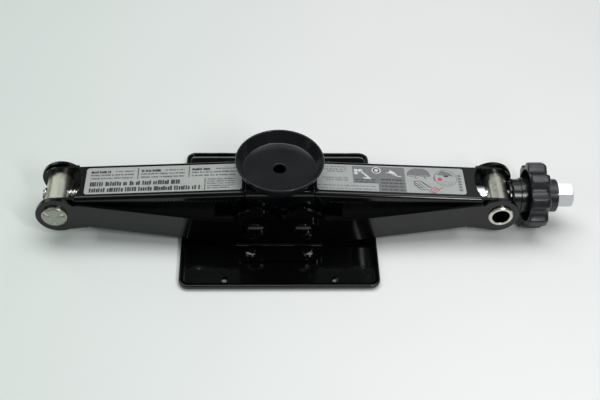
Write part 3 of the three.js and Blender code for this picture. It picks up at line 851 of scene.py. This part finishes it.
def lead_screw():
    """A trapezoidal thread on the left, where the nut travels, and a plain bright shank on the right."""
    low, high = corners("lead_screw")
    outer = high.y
    lead, depth, thread_end = 3.0, 1.3, 20.0
    around, along = 36, 8
    crest = (0.0, 0.0, 0.35, 1.0, 1.0, 1.0, 0.35, 0.0)
    turns = int((thread_end - low.x) / lead) + 3
    vertices, faces = [], []
    for k in range(turns * along):
        for i in range(around):
            x = low.x - 1.5 * lead + lead * (k / along + i / around)
            fade = smoothstep((thread_end - x) / 5) * smoothstep((x - low.x) / 2 + 0.5)
            r = outer - depth * crest[k % along] * fade - 0.9 * smoothstep((low.x + 1.4 - x) / 1.4)
            angle = 2 * math.pi * i / around
            vertices.append((x, r * math.cos(angle), TRUNNION_Z + r * math.sin(angle)))
    for k in range(turns * along - 1):
        for i in range(around):
            j, step = (i + 1) % around, along if i == around - 1 else 0
            if k + 1 + step < turns * along:
                a, b = k * around + i, (k + step) * around + j
                faces.append((a, b, b + around, a + around))
    mesh = bpy.data.meshes.new("making")
    mesh.from_pydata(vertices, [], faces)
    with opened(mesh) as body:
        for x, normal in ((low.x, (-1, 0, 0)), (thread_end + 0.5, (1, 0, 0))):
            cut = bmesh.ops.bisect_plane(
                body, geom=body.verts[:] + body.edges[:] + body.faces[:], plane_co=(x, 0, 0), plane_no=normal,
                clear_outer=True,
            )
            rim = [e for e in cut["geom_cut"] if isinstance(e, bmesh.types.BMEdge)]
            bmesh.ops.edgenet_fill(body, edges=rim)
        bmesh.ops.delete(body, geom=[v for v in body.verts if not v.link_faces], context="VERTS")
        bmesh.ops.recalc_face_normals(body, faces=body.faces)
    thread = linked(mesh)
    shank = turned([(outer, thread_end + 0.5), (outer, high.x)], "x", (0, TRUNNION_Z), around, radius=0.2)
    return joined([thread, shank])


def drive_hex():
    """A hexagonal nut with turned ends."""
    low, high = corners("drive_hex")
    corner = HEX_FLATS / 2 / math.cos(math.pi / 6)
    hexagon = [(p, TRUNNION_Z + q) for p, q in arc(0, 0, corner, HEX_TURN, HEX_TURN + 360, 6)[:-1]]
    made = prism(hexagon, "x", low.x, high.x)
    ends = turned(
        [(corner + 0.1, low.x - 1), (corner + 0.1, high.x - 2.0), (corner - 2.6, high.x)], "x",
        (0, TRUNNION_Z), 72, radius=0.8,
    )
    combined(made, [ends], "INTERSECT")
    return with_rolled_edges(made, 0.35)


def knob():
    """A lobed grip, hollow towards the bearing, with a slotted hub gripping the drive nut."""
    low, high = corners("knob")
    back_x, hub_end = low.x, high.x
    front_x = back_x + 16.2
    boss_x = back_x + 5.6
    rim_r = high.y
    hub_r = 14.0
    lobes, lobe_half, scallop, lobe_turn = 8, 7.5, 4.5, 14.0
    slot_half, slot_depth = 3.6, 2.6
    hex_half, socket_r = 9.8, 9.9
    steps = 288
    profile = [
        (boss_x, socket_r, "hex"), (boss_x, hub_r - 0.5), (boss_x + 0.5, hub_r),
        (front_x - 3.9, hub_r), (front_x - 3.5, hub_r + 0.4),
        (front_x - 3.5, 20.4), (front_x - 3.9, 20.9), (back_x + 0.5, 21.9), (back_x, 22.3),
        (back_x, rim_r - 1.1, "lobe"), (back_x + 0.35, rim_r - 0.45, "lobe"),
        (back_x + 1.1, rim_r - 0.1, "lobe"), (back_x + 3, rim_r, "lobe"),
        (front_x - 4.5, rim_r, "lobe"), (front_x - 2.2, rim_r - 0.3, "lobe"),
        (front_x - 0.9, rim_r - 1.0, "lobe"), (front_x - 0.2, rim_r - 2.2, "lobe"),
        (front_x, rim_r - 3.8, "lobe"), (front_x, hub_r + 1.4), (front_x + 0.4, hub_r + 0.4),
        (front_x + 1.4, hub_r), (hub_end - 1.0, hub_r), (hub_end - 0.3, hub_r - 0.3, "slot"),
        (hub_end, hub_r - 1.0, "slot"), (hub_end, 10.6, "hex", "slot"),
        (hub_end - 0.5, socket_r, "hex", "slot"),
    ]
    rings = []
    for x, r, *kinds in profile:
        ring = []
        for i in range(steps):
            turn = HEX_TURN + 360 * i / steps
            radius, place = r, x
            if "lobe" in kinds:
                off = abs((turn - lobe_turn + 180 / lobes) % (360 / lobes) - 180 / lobes)
                into = max(0.0, off - lobe_half) / (180 / lobes - lobe_half)
                radius -= scallop * (1 - (1 - into) ** 2)
            if "hex" in kinds:
                within = math.radians((turn - HEX_TURN) % 60 - 30)
                radius = hex_half / math.cos(within) + (r - socket_r)
            if "slot" in kinds and abs((turn - HEX_TURN + 30) % 60 - 30) < slot_half:
                place -= slot_depth
            angle = math.radians(turn)
            ring.append((place, radius * math.cos(angle), TRUNNION_Z + radius * math.sin(angle)))
        rings.append(ring)
    return loft(rings, looped=True)


def add_screw_train():
    axis = (0, TRUNNION_Z)
    low, high = corners("thrust_washer")
    inner = SCREW_FIT_R
    ring = [(inner, low.x), (high.y, low.x), (high.y, high.x), (inner, high.x)]
    washer = turned(ring, "x", axis, 64, looped=True)
    low, high = corners("retaining_collar")
    r = high.y
    ring = [(inner, low.x), (r - 0.7, low.x), (r, low.x + 0.7), (r, high.x - 0.7), (r - 0.7, high.x)]
    collar = turned([*ring, (inner, high.x)], "x", axis, 72, looped=True)
    low, high = corners("bearing_sleeve")
    r = high.y
    step_x = low.x + 7.0
    ring = [
        (inner, low.x), (r - 1.8, low.x), (r - 0.9, low.x + 0.9), (r - 0.9, step_x),
        (r, step_x + 0.3), (r, high.x - 0.6), (r - 0.6, high.x), (inner, high.x),
    ]
    sleeve = turned(ring, "x", axis, 96, looped=True, radius=0.3)
    made = (
        (lead_screw(), "threaded_lead_screw", STEEL, "lead_screw", "screw_steel"),
        (collar, "turned_retaining_collar", WHITE_ZINC, "retaining_collar", "white_zinc"),
        (washer, "turned_thrust_washer", GLOSS, "thrust_washer", "arm_enamel"),
        (sleeve, "turned_bearing_sleeve", BEARING, "bearing_sleeve", "arm_enamel"),
        (drive_hex(), "chamfered_drive_hex", WHITE_ZINC, "drive_hex", "white_zinc"),
        (knob(), "moulded_knob", PLASTIC, "knob", "knob_plastic"),
    )
    for piece, name, material, node, slot in made:
        finished(piece, name, material, "screw", [node])


# -------------------- stickers

PRINT_T = 0.05                   # thickness of a printed mark


class Sheet:
    """The printed marks on one sticker, gathered by ink. Places are (x, y) seen from above."""

    def __init__(self, side, seed):
        self.side = side
        self.marks = {ink_name: [] for ink_name in INKS}
        self.layer = 0
        self.dice = random.Random(seed)

    def surface(self, x):
        """Height of the sticker's top over a place along the arm."""
        return TRUNNION_Z + upper_top(TRUNNION_X - self.side * x) + 0.4

    def shape(self, ink_name, outline):
        self.marks[ink_name].append((list(outline), self.layer * 0.03))

    def block(self, ink_name, x0, y0, x1, y1):
        self.shape(ink_name, [(x0, y0), (x1, y0), (x1, y1), (x0, y1)])

    def stroke(self, ink_name, start, end, width):
        first, last = Vector(start), Vector(end)
        along = (last - first).normalized() * width / 2
        across = Vector((-along.y, along.x))
        outline = (first - across, last - across, last + across, first + across)
        self.shape(ink_name, [tuple(p) for p in outline])

    def path(self, ink_name, points, width):
        for start, end in zip(points, points[1:]):
            self.stroke(ink_name, start, end, width)

    def round_line(self, ink_name, x, y, r, width):
        outer = arc(x, y, r + width / 2, 0, 360, 36)
        inner = arc(x, y, r - width / 2, 360, 0, 36)
        middle = len(outer) // 2
        self.shape(ink_name, outer[:middle + 1] + inner[-middle - 1:])
        self.shape(ink_name, outer[middle:] + inner[:-middle])

    def row(self, ink_name, x0, x1, y, height, pitch, fill=0.62):
        """A line of plain dashes, grouped like words, that stands for small print."""
        x = x0
        while x < x1 - pitch:
            for _ in range(self.dice.randint(2, 8)):
                if x > x1 - pitch:
                    break
                wide = pitch * fill * self.dice.uniform(0.8, 1.25)
                tall = height * self.dice.choice((1.0, 1.0, 0.82))
                self.block(ink_name, x, y - height / 2, x + wide, y - height / 2 + tall)
                x += pitch
            x += pitch * 0.75

    def built(self, ink_name):
        """All the marks in one ink as thin closed plates lying on the sticker."""
        vertices, faces = [], []
        for outline, lift in self.marks[ink_name]:
            start, count = len(vertices), len(outline)
            for rise in (-0.02, PRINT_T):
                vertices += [(x, y, self.surface(x) + rise + (lift if rise > 0 else 0.0)) for x, y in outline]
            faces.append(tuple(start + i for i in reversed(range(count))))
            faces.append(tuple(start + count + i for i in range(count)))
            for i in range(count):
                j = (i + 1) % count
                faces.append((start + i, start + j, start + count + j, start + count + i))
        mesh = bpy.data.meshes.new("making")
        mesh.from_pydata(vertices, [], faces)
        with opened(mesh) as body:
            bmesh.ops.recalc_face_normals(body, faces=body.faces)
        return linked(mesh)


def left_print():
    """Three small panels over two bold lines, and a column of fine print by the saddle."""
    sheet = Sheet(-1, 11)
    for x in (-117.8, -75.4):
        sheet.block("black", x, 0.6, x + 0.7, 13.8)
    sheet.block("black", -61.8, -14.6, -61.1, -0.6)
    for start, end in ((-156.5, -120), (-114.8, -78), (-72.6, -34)):
        sheet.row("black", start, start + 17, 10.1, 2.7, 1.2, 0.84)
        sheet.row("black", start + 20, end, 10.2, 1.5, 1.0)
        sheet.row("black", start, end, 6.4, 1.6, 1.0)
        sheet.row("black", start, end - 1, 2.6, 1.6, 1.0)
    sheet.row("black", -156.5, -81, -3.9, 4.9, 1.9, 0.78)
    sheet.row("black", -156.5, -64, -10.9, 4.9, 1.9, 0.78)
    for i in range(5):
        sheet.row("black", -59.5, -36 - (i == 4) * 5, -2.1 - 2.55 * i, 1.3, 1.0)
    return sheet


def right_print():
    """Fine print, a gray panel of simple signs, and a line drawing beside a column of plain blocks."""
    sheet = Sheet(1, 23)
    for y, start, end in ((12.4, 34, 57), (9.6, 34, 57), (7.0, 40, 55), (-0.6, 36, 58), (-3.2, 38, 58)):
        sheet.row("gray", start, end, y, 1.7, 1.0)
    for y in (-9.5, -13.1):
        sheet.row("gray", 31.5, 80.5, y, 1.6, 1.05)
    sheet.shape("gray", [(61.3, -6), (82.1, -6), (82.1, -15), (105.2, -15), (105.2, 13.8), (61.3, 13.8)])
    sheet.layer = 1
    sheet.block("pale", 62.7, 4.2, 65.5, 6.9)
    sheet.block("pale", 62.7, 7.5, 65.5, 10.2)
    sheet.shape("pale", arc(67.8, 8.7, 1.9, 0, 360, 14)[:-1])
    sheet.stroke("pale", (68.0, 8.4), (74.6, 0.8), 1.5)
    sheet.shape("pale", [(70.0, 0.9), (76.3, 0.5), (76.3, -0.9), (70.0, -0.5)])
    sheet.shape("pale", arc(81.4, 9.5, 3.9, 0, 360, 24)[:-1])
    sheet.shape("pale", [(90.8, 6.8), (93.4, 10.4), (96.9, 7.6), (99.0, 4.2), (95.4, 4.6)])
    sheet.path("pale", [(89.5, 7.3), (95.4, 5.4), (99, 3.4), (102.2, 3.2)], 0.8)
    sheet.layer = 2
    sheet.shape("black", arc(81.4, 9.5, 2.9, 0, 360, 20)[:-1])
    sheet.layer = 3
    sheet.shape("pale", arc(81.4, 9.5, 1.7, 0, 360, 18)[:-1])
    sheet.layer = 1
    for y in (-2.0, -4.6):
        sheet.row("black", 63, 80.5, y, 1.3, 1.0)
    for y in (-1.1, -5.0, -8.9, -12.8):
        sheet.row("black", 84.5, 103.6, y, 1.7, 1.1)
    sheet.layer = 0
    dome = [(107, 5.6), (107.6, 8.8), (110.4, 12), (114.6, 13.7), (121.4, 13.7), (125.6, 10.8), (127.2, 5.2)]
    sheet.shape("gray", dome)
    sheet.path("black", [(107, 5.6), (110, 4.0), (116, 5.0), (123, 4.0), (127.2, 5.2)], 0.4)
    for foot in (113.6, 121.6):
        sheet.path("black", [(foot, 4.2), (foot + 1.2, 1.0)], 0.5)
    sheet.round_line("gray", 139.7, 3.2, 9.4, 0.5)
    sheet.shape("gray", [(132.4, 6.8), (137.0, 12.0), (144.0, 9.4), (147.0, 5.6)])
    sheet.path("black", [(130.4, -0.6), (129.6, 3.6), (131.8, 8.2)], 0.5)
    sheet.path("gray", [(135, -2.8), (139.6, -0.8), (143.6, -2.6), (146.4, -0.4)], 0.4)
    sheet.path("gray", [(137, -4.6), (141, -3.4), (144.4, -4.8)], 0.4)
    sheet.layer = 1
    sheet.block("black", 138.4, 4.6, 142.2, 6.2)
    sheet.shape("red", arc(134.7, 1.6, 2.0, 0, 360, 16)[:-1])
    sheet.layer = 0
    sketch = (
        [(111.7, -2.0), (117.8, -1.0), (125, -9.4)], [(112, -4.4), (117.4, -11.6), (123.4, -11.0)],
        [(113.6, -3.4), (119.8, -10.2)], [(116.0, -3.0), (121.8, -9.6)], [(118.4, -1.4), (126.6, -8.8)],
        [(112.2, -6.4), (116.2, -7.0)], [(114.8, -9.2), (119, -8.6)], [(113.4, -1.8), (112.6, -5.2)],
    )
    for line in sketch:
        sheet.path("black", line, 0.5)
    diamond = [(125.2, -11.4), (129.2, -7.8), (133.4, -10.4), (128.6, -14.6)]
    sheet.path("red", [*diamond, diamond[0]], 0.7)
    sheet.stroke("red", (127.6, -12.2), (131.0, -9.6), 0.9)
    sheet.path("black", [(122.6, -11.2), (126.4, -14.4), (129.2, -15.0)], 0.45)
    sheet.path("black", [(133.6, -9.8), (136.2, -7.8)], 0.45)
    for i in range(6):
        sheet.block("gray", 149.8, -11.4 + 3.3 * i, 152.9, -9.1 + 3.3 * i)
    return sheet


def add_stickers():
    for (name, _), sheet in zip(SIDES, (left_print(), right_print())):
        node = frame["nodes"][f"label_{name}"]
        node.data.materials.clear()
        node.data.materials.append(FOIL)
        for ink_name, material in INKS.items():
            if sheet.marks[ink_name]:
                print_name = f"{ink_name}_print_{name}"
                finished(sheet.built(ink_name), print_name, material, f"{name}_upper_arm", [])


# -------------------- stage

def add_floor():
    """A pale card, with painted shade that makes it a little darker and greener towards the left."""
    reach, drop = 3.0, 0.0002        # the drop keeps it off the base's underside
    mesh = bpy.data.meshes.new("floor")
    square = [(-reach, -reach, 0), (reach, -reach, 0), (reach, reach, 0), (-reach, reach, 0)]
    mesh.from_pydata(square, [], [(0, 1, 2, 3)])
    floor = bpy.data.objects.new("floor", mesh)
    bpy.context.scene.collection.objects.link(floor)
    floor.location.z = -drop
    card = Surface("floor_card", (0.88, 0.885, 0.885), 0.6)
    card.tint(card.levels(card.noise(180, detail=2), 0.3, 0.7, 0.0, 1.0), (0.86, 0.865, 0.865))
    # Painted shade: darker and greener towards the left, standing in for the lights' falloff.
    card.tint(card.levels(card.coordinate("X"), 0.1, -0.3, 0.0, 0.8), (0.70, 0.785, 0.745))
    mesh.materials.append(card.material)


def add_light(name, place, target, size, power, color=(1.0, 1.0, 1.0)):
    light = bpy.data.lights.new(name, "AREA")
    light.shape = "RECTANGLE"
    light.size, light.size_y = size
    light.energy = power
    light.color = color
    lamp = bpy.data.objects.new(name, light)
    bpy.context.scene.collection.objects.link(lamp)
    lamp.location = place
    lamp.rotation_euler = (Vector(target) - Vector(place)).to_track_quat("-Z", "Y").to_euler()


def add_lights():
    """A softbox overhead, a strip by the camera, a fill, and dim panels for the enamel to mirror."""
    add_light("overhead_softbox", (0.10, 0.37, 1.7), (0, 0, 0), (2.4, 1.0), 25)
    add_light("camera_side_strip", (0.37, -0.61, 0.70), (0.15, 0, 0.03), (0.10, 0.34), 2.6)
    add_light("rear_right_panel", (0.95, 1.3, 1.35), (0.1, 0, 0), (1.0, 1.1), 2.0, (0.97, 0.98, 1.0))
    add_light("rear_left_panel", (-1.15, 1.4, 1.35), (-0.1, 0, 0), (1.1, 0.9), 0.6, (0.85, 1.0, 0.86))
    add_light("far_left_panel", (-1.5, 1.6, 1.0), (-0.1, 0, 0), (0.8, 0.9), 2.4, (0.95, 1.0, 0.93))
    add_light("front_left_fill", (-1.2, -0.8, 1.1), (-0.2, 0, 0), (0.8, 0.8), 2.6, (0.92, 1.0, 0.95))
    world = bpy.data.worlds.new("studio")
    world.use_nodes = True
    background = world.node_tree.nodes["Background"]
    background.inputs["Color"].default_value = (0.9, 1.0, 0.95, 1.0)
    background.inputs["Strength"].default_value = 0.08
    bpy.context.scene.world = world
    bpy.context.scene.view_settings.view_transform = "Standard"


def add_camera():
    """Looks down at the front of the jack from about 46 degrees above the horizon."""
    place, lens = (-0.0167, -0.6125, 0.6602), 62.395
    pitch, yaw, roll = (math.radians(a) for a in (46.04, 3.229, 2.363))
    forward = Vector((math.sin(yaw) * math.cos(pitch), math.cos(yaw) * math.cos(pitch), -math.sin(pitch)))
    level = Vector((math.cos(yaw), -math.sin(yaw), 0))
    above = level.cross(forward)
    right = level * math.cos(roll) + above * math.sin(roll)
    up = above * math.cos(roll) - level * math.sin(roll)
    camera = bpy.data.objects.new("camera", bpy.data.cameras.new("camera"))
    camera.data.sensor_width = 36
    camera.data.lens = lens
    camera.data.clip_start = 0.05
    turn = Matrix((right, up, -forward)).transposed().to_4x4()
    camera.matrix_world = Matrix.Translation(place) @ turn
    bpy.context.scene.collection.objects.link(camera)
    bpy.context.scene.camera = camera


add_camera()
add_floor()
add_lights()
add_base()
add_arms()
add_head()
add_trunnions()
add_screw_train()
add_stickers()
